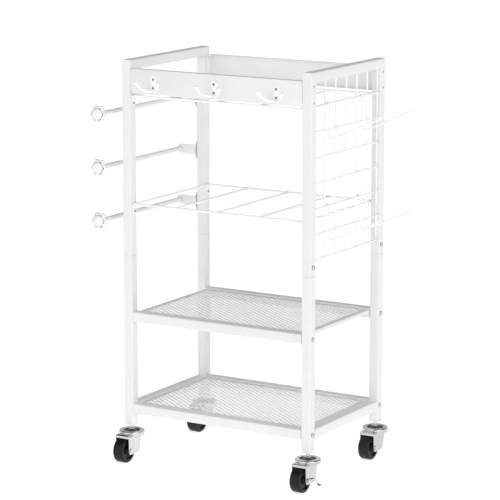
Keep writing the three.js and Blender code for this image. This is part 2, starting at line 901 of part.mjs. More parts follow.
const rodX = -frameWidth / 2 - rodOffset;
const rodFront = -frameDepth / 2 - rodReach;
["lower", "middle", "upper"].forEach((level, i) => {
  const z = rodHeight + rodPitch * i;
  const armFront = innerY;
  place(level + "_ribbon_rod", ribbonRod(armFront - seatGap - rodFront), paint, rodX, rodFront, z);
  place(level + "_rod_bracket", rodBracket(), paint, -frameWidth / 2 - seatGap, armFront, z);
  place(level + "_rod_nut", rodNut(), zinc, rodX, armFront + bracketThickness + seatGap, z);
  place(level + "_star_knob", starKnob(), plastic, rodX, rodFront - seatGap, z);
});

["left", "centre", "right"].forEach((spot, i) => {
  const z = bandBottom + bandHeight / 2 - coatHookCentreDrop;
  const y = -frameDepth / 2 - seatGap;
  place(spot + "_coat_hook", coatHook(), paint, (i - 1) * coatHookPitch, y, z);
});

for (const [level, row, placeShares] of [
  ["upper", upperHookRow, upperHookShares],
  ["lower", lowerHookRow, lowerHookShares],
]) {
  for (const [end, share] of Object.entries(placeShares)) {
    const z = gridFoot + gridRowHeight(row);
    const x = frameWidth / 2 - gridInset + gridWire / 2 - weld;
    place(level + "_" + end + "_peg_hook", pegHook(), paint, x, innerY * share, z);
  }
}

function placeCaster(corner, x, y, braked) {
  place(corner + "_stem", casterStem(), chrome, x, y, 0);
  place(corner + "_fork", casterFork(), chrome, x, y, 0);
  place(corner + "_wheel", casterWheel(), rubber, x, y - wheelTrail, axleHeight);
  const leverRoom = braked ? leverThickness + seatGap : 0;
  place(corner + "_axle", casterAxle(leverRoom), chrome, x, y - wheelTrail, axleHeight);
  if (braked) {
    const lever = place(corner + "_brake_lever", brakeLever(), chrome, x, y - wheelTrail, axleHeight);
    lever.position.x = x + forkHalf + seatGap;
  }
}

// The cart stands on its wheels, and the middle of its overall box is over the origin.
const organizer = new THREE.Group();
const box = new THREE.Box3().setFromObject(cart, true);
const middle = box.getCenter(vector(0, 0, 0));
cart.position.set(-middle.x, -middle.y, -box.min.z);
organizer.add(cart);

export default organizer;
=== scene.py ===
# Looks for a rolling gift wrap organizer: powder-coated tube, sheet and wire on chromed
# casters, with moulded knobs and wheels. Shapes are worked out in millimetres.
import math

import bmesh
import bpy
from mathutils import Matrix, Vector


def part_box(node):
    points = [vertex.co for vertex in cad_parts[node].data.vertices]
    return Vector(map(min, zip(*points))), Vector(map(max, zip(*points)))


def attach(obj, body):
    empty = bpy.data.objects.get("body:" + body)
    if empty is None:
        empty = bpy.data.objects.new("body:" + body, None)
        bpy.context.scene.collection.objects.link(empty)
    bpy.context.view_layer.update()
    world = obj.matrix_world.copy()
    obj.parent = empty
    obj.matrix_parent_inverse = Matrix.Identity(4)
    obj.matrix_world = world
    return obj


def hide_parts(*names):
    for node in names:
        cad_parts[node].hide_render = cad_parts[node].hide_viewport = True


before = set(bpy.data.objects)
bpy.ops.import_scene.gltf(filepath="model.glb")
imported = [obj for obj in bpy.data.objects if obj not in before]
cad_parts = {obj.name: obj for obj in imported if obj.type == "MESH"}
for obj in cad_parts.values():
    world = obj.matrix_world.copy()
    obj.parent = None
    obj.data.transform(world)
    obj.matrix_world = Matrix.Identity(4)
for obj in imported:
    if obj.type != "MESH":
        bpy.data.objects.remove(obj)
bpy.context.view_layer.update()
mm = 0.001
gap = 0.3  # left between pieces that rest on each other
outwardOf = {"left": -1, "right": 1}
ends = ["front", "back"]
levels = ["lower", "middle", "upper"]
corners = [end + "_" + side for end in ends for side in outwardOf]


# Materials


def linearColor(hexText):
    # an sRGB hex value as the linear colour that a shader wants
    shares = [int(hexText[i : i + 2], 16) / 255 for i in (1, 3, 5)]
    return [s / 12.92 if s <= 0.04045 else ((s + 0.055) / 1.055) ** 2.4 for s in shares] + [1]


def addNode(tree, kind, settings):
    # a setting is a link if it is another node's output, else a property or a socket's value
    node = tree.nodes.new(kind)
    for name, value in settings.items():
        if isinstance(value, bpy.types.NodeSocket):
            tree.links.new(value, node.inputs[name])
        elif hasattr(node, name):
            setattr(node, name, value)
        else:
            node.inputs[name].default_value = value
    return node


def newMaterial(name):
    material = bpy.data.materials.new(name)
    material.use_nodes = True
    material.node_tree.nodes.clear()
    return material, material.node_tree


# polyester powder baked on steel: an even white film with a soft sheen and orange peel
powderCoat = {
    "broadDetail": 2, "fineDetail": 2, "glossBy": "fine", "bumpBy": "fine", "bump": 0.35,
    "shader": {"IOR": 1.5},
}
paintFinish = {
    "low": "#e9eaea",
    "high": "#f1f1f1",
    "broadMm": 70,  # how far apart the film's slight changes of tone are
    "fineMm": 1.4,  # orange peel is nearer 0.5 mm: coarser here, so that it shows
    "depthMm": 0.03,
    "roughness": (0.34, 0.46),
}
# the wires' white powder coat, painted lighter than the posts': painted light that stands in for the
# light thin wires catch
paintedLightWireFinish = {
    "low": "#fafafa",
    "high": "#ffffff",
    "broadMm": 40,
    "fineMm": 1.2,
    "depthMm": 0.02,
    "roughness": (0.26, 0.38),
}

# plated steel: a bright metal whose slight waves and haze break up its reflections
platedSteel = {
    "broadDetail": 1, "fineDetail": 4, "glossBy": "fine", "bumpBy": "broad", "bump": 0.3,
    "shader": {"Metallic": 1},
}
chromeFinish = {
    "low": "#c0c0bf",
    "high": "#d0d0cf",
    "broadMm": 14,  # shallow waves that the press leaves under the plating
    "fineMm": 4,
    "depthMm": 0.12,
    "roughness": (0.05, 0.12),
}
zincFinish = {
    "low": "#a9aaaa",
    "high": "#c6c7c7",
    "broadMm": 1.8,  # spangle of the plating
    "fineMm": 1.2,
    "depthMm": 0.03,
    "roughness": (0.26, 0.42),
}
darkSteelFinish = {
    "low": "#5c5a58",
    "high": "#757371",
    "broadMm": 1.5,  # painted shade in the screws' sockets, a painted shadow ring on the bolts' washers, and a darker well round each caster's race
    "fineMm": 2,
    "depthMm": 0.02,
    "roughness": (0.3, 0.5),
}

# injection moulded plastic: the tool's fine grain, and gloss that drifts over the piece
mouldedPlastic = {
    "broadMm": 16, "broadDetail": 2, "fineDetail": 3, "depthMm": 0.03, "glossBy": "broad",
    "bumpBy": "fine", "bump": 0.3, "shader": {"IOR": 1.49, "Subsurface Scale": 2 * mm},
}
knobFinish = {
    "low": "#f0f0ee",
    "high": "#f9f9f7",
    "fineMm": 1.2,
    "roughness": (0.2, 0.32),
    "own": {"Subsurface Weight": 0.08},
}
wheelFinish = {
    "low": "#070707",
    "high": "#0e0e0f",
    "fineMm": 0.9,
    "roughness": (0.36, 0.5),
    "own": {"Specular IOR Level": 0.3},  # below the usual, because a matt tread catches its own light
}
nylonFinish = {"low": "#1d1d1f", "high": "#2b2b2e", "fineMm": 0.8, "roughness": (0.38, 0.55)}


def finishedMaterial(name, kind, finish):
    # two sizes of noise: the broad one drifts the colour, and the kind of material says which
    # one leads the gloss and which the bump
    values = {"own": {}, **kind, **finish}
    material, tree = newMaterial(name)
    coords = addNode(tree, "ShaderNodeTexCoord", {})
    noises = {}
    for size in ("broad", "fine"):
        settings = {
            "Vector": coords.outputs["Object"], "Scale": 1 / (values[size + "Mm"] * mm),
            "Detail": values[size + "Detail"],
        }
        noises[size] = addNode(tree, "ShaderNodeTexNoise", settings).outputs["Fac"]
    mixing = {
        "data_type": "RGBA", "Factor": noises["broad"], "A": linearColor(values["low"]),
        "B": linearColor(values["high"]),
    }
    color = addNode(tree, "ShaderNodeMix", mixing)
    ranging = {
        "Value": noises[values["glossBy"]],
        "From Min": 0.3,  # most of a noise lies between these two
        "From Max": 0.7,
        "To Min": values["roughness"][0],
        "To Max": values["roughness"][1],
    }
    gloss = addNode(tree, "ShaderNodeMapRange", ranging)
    raising = {
        "Height": noises[values["bumpBy"]], "Strength": values["bump"],
        "Distance": values["depthMm"] * mm,
    }
    bump = addNode(tree, "ShaderNodeBump", raising)
    surface = {
        "Base Color": color.outputs["Result"], "Roughness": gloss.outputs["Result"],
        "Normal": bump.outputs["Normal"], **values["shader"], **values["own"],
    }
    shader = addNode(tree, "ShaderNodeBsdfPrincipled", surface)
    addNode(tree, "ShaderNodeOutputMaterial", {"Surface": shader.outputs["BSDF"]})
    return material


whitePaint = finishedMaterial("whitePowderCoat", powderCoat, paintFinish)
paintedLightWirePaint = finishedMaterial("glossyWireWhitePaintedLight", powderCoat, paintedLightWireFinish)  # the white paint made lighter on the wires: painted light for the brightness thin wires catch
chrome = finishedMaterial("chromePlatedSteel", platedSteel, chromeFinish)
zinc = finishedMaterial("zincPlatedSteel", platedSteel, zincFinish)
knobPlastic = finishedMaterial("whiteKnobPlastic", mouldedPlastic, knobFinish)
wheelPlastic = finishedMaterial("blackWheelNylon", mouldedPlastic, wheelFinish)
darkPlastic = finishedMaterial("darkNylon", mouldedPlastic, nylonFinish)
darkSteel = finishedMaterial("darkSteelAndPaintedShade", platedSteel, darkSteelFinish)
print("materials made")


# Shapes


def boxOf(node):
    low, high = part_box(node)
    return Vector(low) / mm, Vector(high) / mm


def middleOf(node):
    low, high = boxOf(node)
    return (low + high) / 2


def facing(start, direction):
    # takes the origin to the start and +Z to the direction
    turn = Vector(direction).normalized().to_track_quat("Z", "Y")
    return Matrix.Translation(Vector(start)) @ turn.to_matrix().to_4x4()


def sideways(x, y, z):
    # stands a flat part up across X: its own X runs back along the cart and its Y runs up
    return Matrix(((0, 0, 1, x), (1, 0, 0, y), (0, 1, 0, z), (0, 0, 0, 1)))


def forwards(x, y, z):
    # stands a flat part up with its face to the front
    return Matrix.Translation((x, y, z)) @ Matrix.Rotation(math.pi / 2, 4, "X")


def absorb(bm, part, place=Matrix.Identity(4)):
    # puts a finished part into a larger shape
    held = bpy.data.meshes.new("held")
    part.to_mesh(held)
    part.free()
    held.transform(place)
    bm.from_mesh(held)
    bpy.data.meshes.remove(held)


def moved(part, place):
    bm = bmesh.new()
    absorb(bm, part, place)
    return bm


def pieceFrom(name, bm, materials, body="frame", replaced=()):
    # a finished piece in metres on its body, smooth but for edges that turn by more than sharp
    sharp = math.radians(34)
    for face in bm.faces:
        face.smooth = True
    for edge in bm.edges:
        edge.smooth = len(edge.link_faces) == 2 and edge.calc_face_angle() < sharp
    data = bpy.data.meshes.new(name)
    bm.to_mesh(data)
    bm.free()
    data.transform(Matrix.Scale(mm, 4))
    for material in materials:
        data.materials.append(material)
    piece = bpy.data.objects.new(name, data)
    bpy.context.scene.collection.objects.link(piece)
    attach(piece, body)
    if replaced:
        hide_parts(*replaced)


def standIn(node, shape, materials, body="frame"):
    # a piece that stands for a CAD node, shaped by a function of the node's name
    words = node.split("_")
    name = words[0] + "".join(word.capitalize() for word in words[1:])
    pieceFrom(name, shape(node), materials, body, [node])


def newVerts(grown):
    return [g for g in grown["geom"] if isinstance(g, bmesh.types.BMVert)]


def newEdges(grown):
    return [g for g in grown["geom"] if isinstance(g, bmesh.types.BMEdge)]


def turnOutwards(bm):
    bmesh.ops.recalc_face_normals(bm, faces=bm.faces[:])


def keepOnly(bm, faces):
    kept = set(faces)
    bmesh.ops.delete(bm, geom=[f for f in bm.faces if f not in kept], context="FACES")


def bevelAll(bm, geom, offset, segments, affect="EDGES"):
    bmesh.ops.bevel(
        bm, geom=geom, offset=offset, segments=segments, profile=0.5, affect=affect, material=-1,
        clamp_overlap=True,
    )


def softenEdges(bm, offset, segments=2, fromDegrees=40):
    # rounds every edge that turns by more than the given angle
    limit = math.radians(fromDegrees)
    edges = [e for e in bm.edges if len(e.link_faces) == 2 and e.calc_face_angle() > limit]
    bevelAll(bm, edges, offset, segments)


def cutAway(bm, point, away, merge):
    # removes what lies beyond a plane and gives the edges of the cut
    cut = bmesh.ops.bisect_plane(
        bm, geom=bm.verts[:] + bm.edges[:] + bm.faces[:], plane_co=point, plane_no=away,
        clear_outer=True, dist=merge,
    )
    return [g for g in cut["geom_cut"] if isinstance(g, bmesh.types.BMEdge)]


def closedLoop(bm, points):
    verts = [bm.verts.new(point) for point in points]
    return [bm.edges.new(pair) for pair in zip(verts, verts[1:] + verts[:1])]


def bridgedRings(bm, rings):
    # skins over rings that have the same number of points, and gives their edges
    loops = [closedLoop(bm, ring) for ring in rings]
    for a, b in zip(loops, loops[1:]):
        bmesh.ops.bridge_loops(bm, edges=a + b)
    return loops


def roundBar(start, end, diameter, sides=20, soft=0.5, segments=3, fromDegrees=60):
    start, end = Vector(start), Vector(end)
    length = (end - start).length
    bar = bmesh.new()
    bmesh.ops.create_cone(
        bar, cap_ends=True, segments=sides, radius1=diameter / 2, radius2=diameter / 2,
        depth=length, matrix=Matrix.Translation((0, 0, length / 2)),
    )
    softenEdges(bar, soft, segments, fromDegrees)
    return moved(bar, facing(start, end - start))


def hexagonNut(start, direction, across, height, soft=0.5):
    end = Vector(start) + Vector(direction) * height
    return roundBar(start, end, 2 * across / math.sqrt(3), 6, soft, 2, 40)


def turned(profile, sides):
    # (radius, height) pairs spun round +Z; a profile that starts and ends on the axis closes
    bm = bmesh.new()
    verts = [bm.verts.new((radius, 0, height)) for radius, height in profile]
    for pair in zip(verts, verts[1:]):
        bm.edges.new(pair)
    bmesh.ops.spin(
        bm, geom=bm.verts[:] + bm.edges[:], cent=(0, 0, 0), axis=(0, 0, 1), angle=2 * math.pi,
        steps=sides, use_merge=True,
    )
    bmesh.ops.remove_doubles(bm, verts=bm.verts[:], dist=1e-4)
    turnOutwards(bm)
    return bm


def arc(centre, radius, fromDegrees, toDegrees, steps):
    # points on an arc in a plane, as pairs
    found = []
    for i in range(steps + 1):
        turn = math.radians(fromDegrees + (toDegrees - fromDegrees) * i / steps)
        found.append((centre[0] + radius * math.cos(turn), centre[1] + radius * math.sin(turn)))
    return found


def roundHole(radius, height=0):
    return arc((0, height), radius, 0, 345, 23)


def roundedRectangle(halfX, halfY, radius, steps):
    outline = []
    for a, b, start in ((1, 1, 0), (-1, 1, 90), (-1, -1, 180), (1, -1, 270)):
        centre = (a * (halfX - radius), b * (halfY - radius))
        outline += arc(centre, radius, start, start + 90, steps)
    return outline


def shoulderSteps(radius):
    # how far in and how far down each step of a rounded shoulder lies
    turns = [math.radians(degrees) for degrees in (0, 22, 45, 67, 90)]
    return [(radius * (1 - math.sin(turn)), radius * (1 - math.cos(turn))) for turn in turns]


def smoothPath(knots, steps):
    # a curve that passes through every knot
    knots = [Vector(knot) for knot in knots]
    ghosts = [knots[0] * 2 - knots[1]] + knots + [knots[-1] * 2 - knots[-2]]
    path = []
    for a, b, c, d in zip(ghosts, ghosts[1:], ghosts[2:], ghosts[3:]):
        for i in range(steps):
            t = i / steps
            bend = (2 * a - 5 * b + 4 * c - d) * t * t + (3 * b - a - 3 * c + d) * t**3
            path.append(0.5 * (2 * b + (c - a) * t + bend))
    path.append(knots[-1])
    return path


def bentWire(points, diameter, sides=16, soft=0.8):
    # sweeps a circle along a path and rounds both ends over
    path = [Vector(point) for point in points]
    headings = [(b - a).normalized() for a, b in zip(path, path[1:])]
    radius = diameter / 2
    rounding = []
    for degrees in (90, 60, 30, 0):
        turn = math.radians(degrees)
        rounding.append((soft - soft * math.sin(turn), 1 - (soft - soft * math.cos(turn)) / radius))
    stations = [(path[0] + headings[0] * back, headings[0], share) for back, share in rounding]
    for point, before, after in zip(path[1:], headings, headings[1:]):
        stations.append((point, (before + after).normalized(), 1))
    for back, share in rounding[::-1]:
        stations.append((path[-1] - headings[-1] * back, headings[-1], share))
    turn = headings[0].to_track_quat("Z", "Y")
    places = []
    for point, heading, share in stations:
        turn = (turn @ Vector((0, 0, 1))).rotation_difference(heading) @ turn
        place = Matrix.Translation(point) @ turn.to_matrix().to_4x4()
        places.append(place @ Matrix.Scale(share, 4))
    bm = bmesh.new()
    bmesh.ops.create_circle(bm, cap_ends=True, segments=sides, radius=radius, matrix=places[0])
    rim = bm.edges[:]
    for current, following in zip(places, places[1:]):
        grown = bmesh.ops.extrude_edge_only(bm, edges=rim)
        rim = newEdges(grown)
        step = following @ current.inverted()
        bmesh.ops.transform(bm, matrix=step, verts=newVerts(grown))
    bmesh.ops.contextual_create(bm, geom=rim)
    turnOutwards(bm)
    return bm


def sheetPart(outlines, thickness, soft=0.25):
    # a flat part: the first outline is its edge and the others are its holes; grows along +Z
    bm = bmesh.new()
    for outline in outlines:
        closedLoop(bm, [(x, y, 0) for x, y in outline])
    bmesh.ops.triangle_fill(bm, use_beauty=True, edges=bm.edges[:])
    grown = bmesh.ops.extrude_face_region(bm, geom=bm.faces[:])
    bmesh.ops.translate(bm, verts=newVerts(grown), vec=(0, 0, thickness))
    turnOutwards(bm)
    softenEdges(bm, soft)
    return bm


def foldedSheet(path, low, high, thickness, soft=0.2):
    # a sheet whose outer face follows a path of (x, y) pairs and stands from low to high along
    # Z; it grows to the left of the path, or to the right where the thickness is negative
    bm = bmesh.new()
    verts = [bm.verts.new((x, y, low)) for x, y in path]
    edges = [bm.edges.new(pair) for pair in zip(verts, verts[1:])]
    grown = bmesh.ops.extrude_edge_only(bm, edges=edges)
    bmesh.ops.translate(bm, verts=newVerts(grown), vec=(0, 0, high - low))
    turnOutwards(bm)
    first = edges[0].link_faces[0]
    first.normal_update()
    along = verts[1].co - verts[0].co
    inward = Vector((-along.y, along.x, 0)) * thickness
    if first.normal.dot(inward) > 0:
        bmesh.ops.reverse_faces(bm, faces=bm.faces[:])
    bmesh.ops.solidify(bm, geom=bm.faces[:], thickness=abs(thickness))
    softenEdges(bm, soft)
    return bm


def socketScrew(diameter, height, socket, washer=0):
    # a button head with a hexagon socket, standing on z = 0; the socket and any washer under the
    #  head have the dark second material: painted shade in the socket, a painted shadow ring round
    #      the head
    radius, bore = diameter / 2, socket / 2
    depth = height * 0.2
    dome = [(0, 0), (radius, 0)]
    for share, rise in ((1, 0.25), (0.93, 0.55), (0.78, 0.82)):
        dome.append((radius * share, height * rise))
    dome += [(bore + 0.3, height), (bore, height - 0.15), (bore, depth), (0, depth)]
    bm = turned(dome, 24)
    for vert in bm.verts:
        if abs(math.hypot(vert.co.x, vert.co.y) - bore) < 0.05:
            turn = math.atan2(vert.co.y, vert.co.x) % (math.pi / 3) - math.pi / 6
            vert.co.x /= math.cos(turn)
            vert.co.y /= math.cos(turn)
    # faces in the socket take the dark second material: painted shade in the hollow
    for face in bm.faces:
        if all(math.hypot(v.co.x, v.co.y) < socket * 0.62 and v.co.z > 0 for v in face.verts):
            face.material_index = 1
    if washer:
        edge, hole = washer / 2, radius + 0.1
        ring = [(hole, 0), (edge, 0), (edge, 0.5), (edge - 0.3, 0.8), (hole, 0.8), (hole, 0)]
        seat = turned(ring, 24)
        # the washer is dark too: a painted shadow ring round the head
        for face in seat.faces:
            face.material_index = 1
        absorb(bm, seat)
    return bm


# Tube frame: two upper side frames, two lower ones and four cross rails

tubeValues = {"wall": 1.2, "corner": 2.5, "groove": 0.22, "seam": 0.5, "bead": 2.0}
postLow, postHigh = boxOf("left_upper_frame")
tubeSize = postHigh.x - postLow.x
frontY = postLow.y + tubeSize / 2
backY = postHigh.y - tubeSize / 2


def tubeFrom(start, end):
    # a hollow square tube with rounded corners, open at both ends
    start, end = Vector(start), Vector(end)
    tube = bmesh.new()
    bmesh.ops.create_grid(tube, x_segments=1, y_segments=1, size=tubeSize / 2)
    bevelAll(tube, tube.verts[:], tubeValues["corner"], 5, "VERTICES")
    ring = bmesh.ops.inset_region(
        tube, faces=tube.faces[:], thickness=tubeValues["wall"], use_boundary=True,
        use_even_offset=True,
    )
    keepOnly(tube, ring["faces"])
    grown = bmesh.ops.extrude_face_region(tube, geom=tube.faces[:])
    bmesh.ops.translate(tube, verts=newVerts(grown), vec=(0, 0, (end - start).length))
    turnOutwards(tube)
    return moved(tube, facing(start, end - start))


def cutTube(bm, point, away, groove):
    # cuts a hollow tube off at a plane, closes the wall there and breaks its edges
    rims = cutAway(bm, point, away, 1e-4)
    bmesh.ops.bridge_loops(bm, edges=rims)
    turnOutwards(bm)
    bevelAll(bm, [e for e in rims if e.is_valid], groove, 1)


def upperSideFrame(node):
    # two posts and a top rail, mitred where they meet
    low, high = boxOf(node)
    x, beyond = middleOf(node).x, tubeSize / 2
    top = high.z - tubeSize / 2
    rail = tubeFrom((x, low.y - beyond, top), (x, high.y + beyond, top))
    bm = bmesh.new()
    for y, outer, lean in ((frontY, low.y, 1), (backY, high.y, -1)):
        corner, mitre = (x, outer, high.z), Vector((0, lean, 1))
        post = tubeFrom((x, y, low.z - beyond), (x, y, high.z + beyond))
        cutTube(post, corner, mitre, tubeValues["groove"])
        cutTube(post, (x, y, low.z), Vector((0, 0, -1)), tubeValues["seam"])
        cutTube(rail, corner, -mitre, tubeValues["groove"])
        absorb(bm, post)
    absorb(bm, rail)
    return bm


def weldBead(x, y, z):
    # the bead that runs round a rail's end where it meets its post
    half = tubeSize / 2 + 0.2
    outline = roundedRectangle(half, half, tubeValues["corner"], 3)
    path = [(x + a, y, z + b) for a, b in outline + outline[:1]]
    return bentWire(path, tubeValues["bead"], 8, 0.2)


def lowerSideFrame(node):
    low, high = boxOf(node)
    x, z = middleOf(node).x, middleOf("lower_front_rail").z
    bm = bmesh.new()
    for y in (frontY, backY):
        post = tubeFrom((x, y, low.z), (x, y, high.z + tubeSize))
        cutTube(post, (x, y, high.z), Vector((0, 0, 1)), tubeValues["seam"])
        absorb(bm, post)
    innerFaces = (frontY + tubeSize / 2, backY - tubeSize / 2)
    absorb(bm, tubeFrom((x, innerFaces[0], z), (x, innerFaces[1], z)))
    for y in innerFaces:
        absorb(bm, weldBead(x, y, z))
    return bm


def crossRail(node):
    low, high = boxOf(node)
    middle = middleOf(node)
    return tubeFrom((low.x, middle.y, middle.z), (high.x, middle.y, middle.z))


for side in outwardOf:
    standIn(side + "_upper_frame", upperSideFrame, [whitePaint])
    standIn(side + "_lower_frame", lowerSideFrame, [whitePaint])
for level in ("lower", "middle"):
    for end in ends:
        standIn(level + "_" + end + "_rail", crossRail, [whitePaint])
print("tube frame made")


# Bands: sheet folded back along the top, the foot and both ends

bandValues = {"sheet": 1.2, "flange": 12, "bend": 2.2, "tabInset": 7, "relief": 1.2}


def sheetBand(node):
    low, high = boxOf(node)
    front = node == "front_band"
    bend, sheet, flange = bandValues["bend"], bandValues["sheet"], bandValues["flange"]
    depth, height, half = high.y - low.y, high.z - low.z, (high.x - low.x) / 2
    section = [(flange, 0)]
    section += arc((bend, bend), bend, 270, 180, 4)
    section += arc((bend, height - bend), bend, 180, 90, 4)
    section += [(flange, height)]
    trimmed = half - bend - bandValues["relief"]
    # the sheet runs along X
    bm = moved(foldedSheet(section, -trimmed, trimmed, -sheet), sideways(0, 0, 0))
    inset = bandValues["tabInset"]
    for out in outwardOf.values():
        tab = [(trimmed, 0)] + arc((half - bend, bend), bend, 270, 360, 4) + [(half, depth)]
        path = [(out * x, y) for x, y in tab]
        absorb(bm, foldedSheet(path, inset, height - inset, out * sheet))
    place = Matrix.Translation((middleOf(node).x, low.y if front else high.y, low.z))
    return moved(bm, place if front else place @ Matrix.Rotation(math.pi, 4, "Z"))


for end in ends:
    standIn(end + "_band", sheetBand, [whitePaint])
print("bands made")


# Wire dividers: round wire with a screw tab under each corner

dividerValues = {
    "wire": 6, "cells": 4, "tabWidth": 14, "tabSheet": 1.6, "tabCorner": 4, "hole": 5,
    "holeDrop": 17.5,
}


def screwTab(x, y, low, high):
    # a tab that stands flat against the post, its lower corners rounded
    half, radius = dividerValues["tabWidth"] / 2, dividerValues["tabCorner"]
    outline = [(half, high), (-half, high)]
    outline += arc((radius - half, low + radius), radius, 180, 270, 5)
    outline += arc((half - radius, low + radius), radius, 270, 360, 5)
    hole = roundHole(dividerValues["hole"] / 2, high - dividerValues["holeDrop"])
    return moved(sheetPart([outline, hole], dividerValues["tabSheet"]), sideways(x, y, 0))


def wireDivider(node):
    low, high = boxOf(node)
    wire, cells = dividerValues["wire"], dividerValues["cells"]
    z = high.z - wire / 2
    bm = bmesh.new()
    for y in (frontY, backY):
        absorb(bm, roundBar((low.x + 0.2, y, z), (high.x - 0.2, y, z), wire))
    for i in range(cells + 1):
        x = low.x + wire / 2 + (high.x - low.x - wire) * i / cells
        absorb(bm, roundBar((x, frontY, z), (x, backY, z), wire))
    for x in (low.x, high.x - dividerValues["tabSheet"]):
        for y in (frontY, backY):
            absorb(bm, screwTab(x, y, low.z, z))
    return bm


for level in ("middle", "upper"):
    standIn(level + "_divider", wireDivider, [paintedLightWirePaint])
print("dividers made")


# Shelves: flattened expanded mesh under a plain border with a folded rim

shelfValues = {
    "sheet": 1.2,
    "meshSheet": 0.96,
    "meshDrop": 0.3,
    "border": 15,
    "overlap": 1.5,  # how far the mesh reaches under the border
    "diamondLong": 20,
    "diamondShort": 14.5,
    "strand": 3.0,
    "bend": 2.0,
    "corner": 3.0,
}


def diamondMesh(halfX, halfY, top):
    # a grid skewed into diamonds, trimmed to the shelf and opened inside each cell
    columns = round(2 * halfX / shelfValues["diamondLong"])
    rows = round(2 * halfY / shelfValues["diamondShort"])
    longWay, shortWay = halfX / columns, halfY / rows
    count = columns + rows
    bm = bmesh.new()
    bmesh.ops.create_grid(bm, x_segments=count, y_segments=count, size=count / 2)
    skew = Matrix.Identity(4)
    skew[0][0], skew[0][1] = longWay, -longWay
    skew[1][0], skew[1][1] = shortWay, shortWay
    bmesh.ops.transform(bm, matrix=skew, verts=bm.verts[:])
    for side in ((halfX, 0, 0), (-halfX, 0, 0), (0, halfY, 0), (0, -halfY, 0)):
        cutAway(bm, side, side, 1e-3)
    slivers = [f for f in bm.faces if f.calc_area() < longWay * shortWay / 5]
    bmesh.ops.delete(bm, geom=slivers, context="FACES")
    strips = bmesh.ops.inset_individual(
        bm, faces=bm.faces[:], thickness=shelfValues["strand"] / 2, use_even_offset=True,
    )
    keepOnly(bm, strips["faces"])
    bmesh.ops.solidify(bm, geom=bm.faces[:], thickness=shelfValues["meshSheet"])
    rise = top - max(v.co.z for v in bm.verts)
    bmesh.ops.translate(bm, verts=bm.verts[:], vec=(0, 0, rise))
    return bm


def shelfBorder(halfX, halfY, fall):
    # a closed section carried round the shelf: top leaf, bend, rim and back up inside
    border, bend, sheet = shelfValues["border"], shelfValues["bend"], shelfValues["sheet"]
    section = [(border, 0)] + arc((bend, bend), bend, 270, 180, 4)
    section += [(0, fall - 0.3), (0.3, fall), (sheet - 0.3, fall), (sheet, fall - 0.3)]
    section += [(sheet, bend), (bend, sheet), (border, sheet)]
    rings = []
    for inset, drop in section:
        radius = max(shelfValues["corner"] - inset, 0.4)
        outline = roundedRectangle(halfX - inset, halfY - inset, radius, 4)
        rings.append([(x, y, -drop) for x, y in outline])
    bm = bmesh.new()
    loops = bridgedRings(bm, rings)
    bmesh.ops.bridge_loops(bm, edges=loops[-1] + loops[0])
    turnOutwards(bm)
    return bm


def meshShelf(node):
    low, high = boxOf(node)
    halfX, halfY = (high.x - low.x) / 2, (high.y - low.y) / 2
    reach = shelfValues["border"] - shelfValues["overlap"]
    bm = diamondMesh(halfX - reach, halfY - reach, -shelfValues["meshDrop"])
    absorb(bm, shelfBorder(halfX, halfY, high.z - low.z))
    middle = middleOf(node)
    return moved(bm, Matrix.Translation((middle.x, middle.y, high.z)))


for level in ("lower", "middle"):
    standIn(level + "_mesh_shelf", meshShelf, [whitePaint])
print("shelves made")


# Side grid: upright wires with level wires welded across their outer side

gridValues = {"wire": 4.5, "columns": 6, "rows": 7, "pitch": 61.9}


def sideGrid(node):
    low, high = boxOf(node)
    wire, columns = gridValues["wire"], gridValues["columns"]
    bm = bmesh.new()
    x = low.x + wire / 2
    for i in range(columns + 1):
        y = low.y + wire / 2 + (high.y - low.y - wire) * i / columns
        absorb(bm, roundBar((x, y, low.z), (x, y, high.z), wire))
    x = high.x - wire / 2
    for i in range(gridValues["rows"]):
        z = low.z + wire / 2 + gridValues["pitch"] * i
        absorb(bm, roundBar((x, low.y, z), (x, high.y, z), wire))
    return bm


standIn("side_grid", sideGrid, [paintedLightWirePaint])
print("side grid made")


# Rods on the left side, with their brackets, nuts and star knobs

rodValues = {"thread": 8, "pitch": 1.25, "groove": 0.6, "shoulder": 0.8, "tip": 0.6, "nut": 13}
bracketValues = {
    "sheet": 3, "corner": 4, "width": 25, "fillet": 6, "screwRise": 15, "screwShift": 1.5,
    "soft": 0.4,
}
knobValues = {
    "lobes": 6, "swing": 0.085, "edge": 2.8, "head": 13, "hub": 20, "hubLength": 8, "flare": 26,
    "face": 28, "dome": 4.3, "bore": 8.6, "boreDepth": 17.4,
}


def threadProfile(start, end):
    # a saw-tooth: rings stand in for the helix of a thread
    outer = rodValues["thread"] / 2
    inner = outer - rodValues["groove"]
    count = max(int((end - start) / rodValues["pitch"]), 1)
    step = (end - start) / count
    profile = []
    for i in range(count):
        for radius, share in ((outer, 0.15), (outer, 0.4), (inner, 0.75), (inner, 0.85)):
            profile.append((radius, start + step * (i + share)))
    return profile


def ribbonRod(node):
    low, high = boxOf(node)
    middle, level = middleOf(node), node.split("_")[0]
    radius, length = (high.x - low.x) / 2, high.y - low.y
    front = boxOf(level + "_star_knob")[1].y + gap - low.y
    back = boxOf(level + "_rod_bracket")[0].y - gap - low.y
    soft, tip, end = rodValues["shoulder"], rodValues["thread"] / 2 - 0.8, rodValues["tip"]
    profile = [(0, 0), (tip, 0)] + threadProfile(end, front)
    profile += [(radius - soft, front), (radius, front + soft)]
    profile += [(radius, back - soft), (radius - soft, back)]
    profile += threadProfile(back, length - end) + [(tip, length), (0, length)]
    return moved(turned(profile, 32), facing((middle.x, low.y, middle.z), (0, 1, 0)))


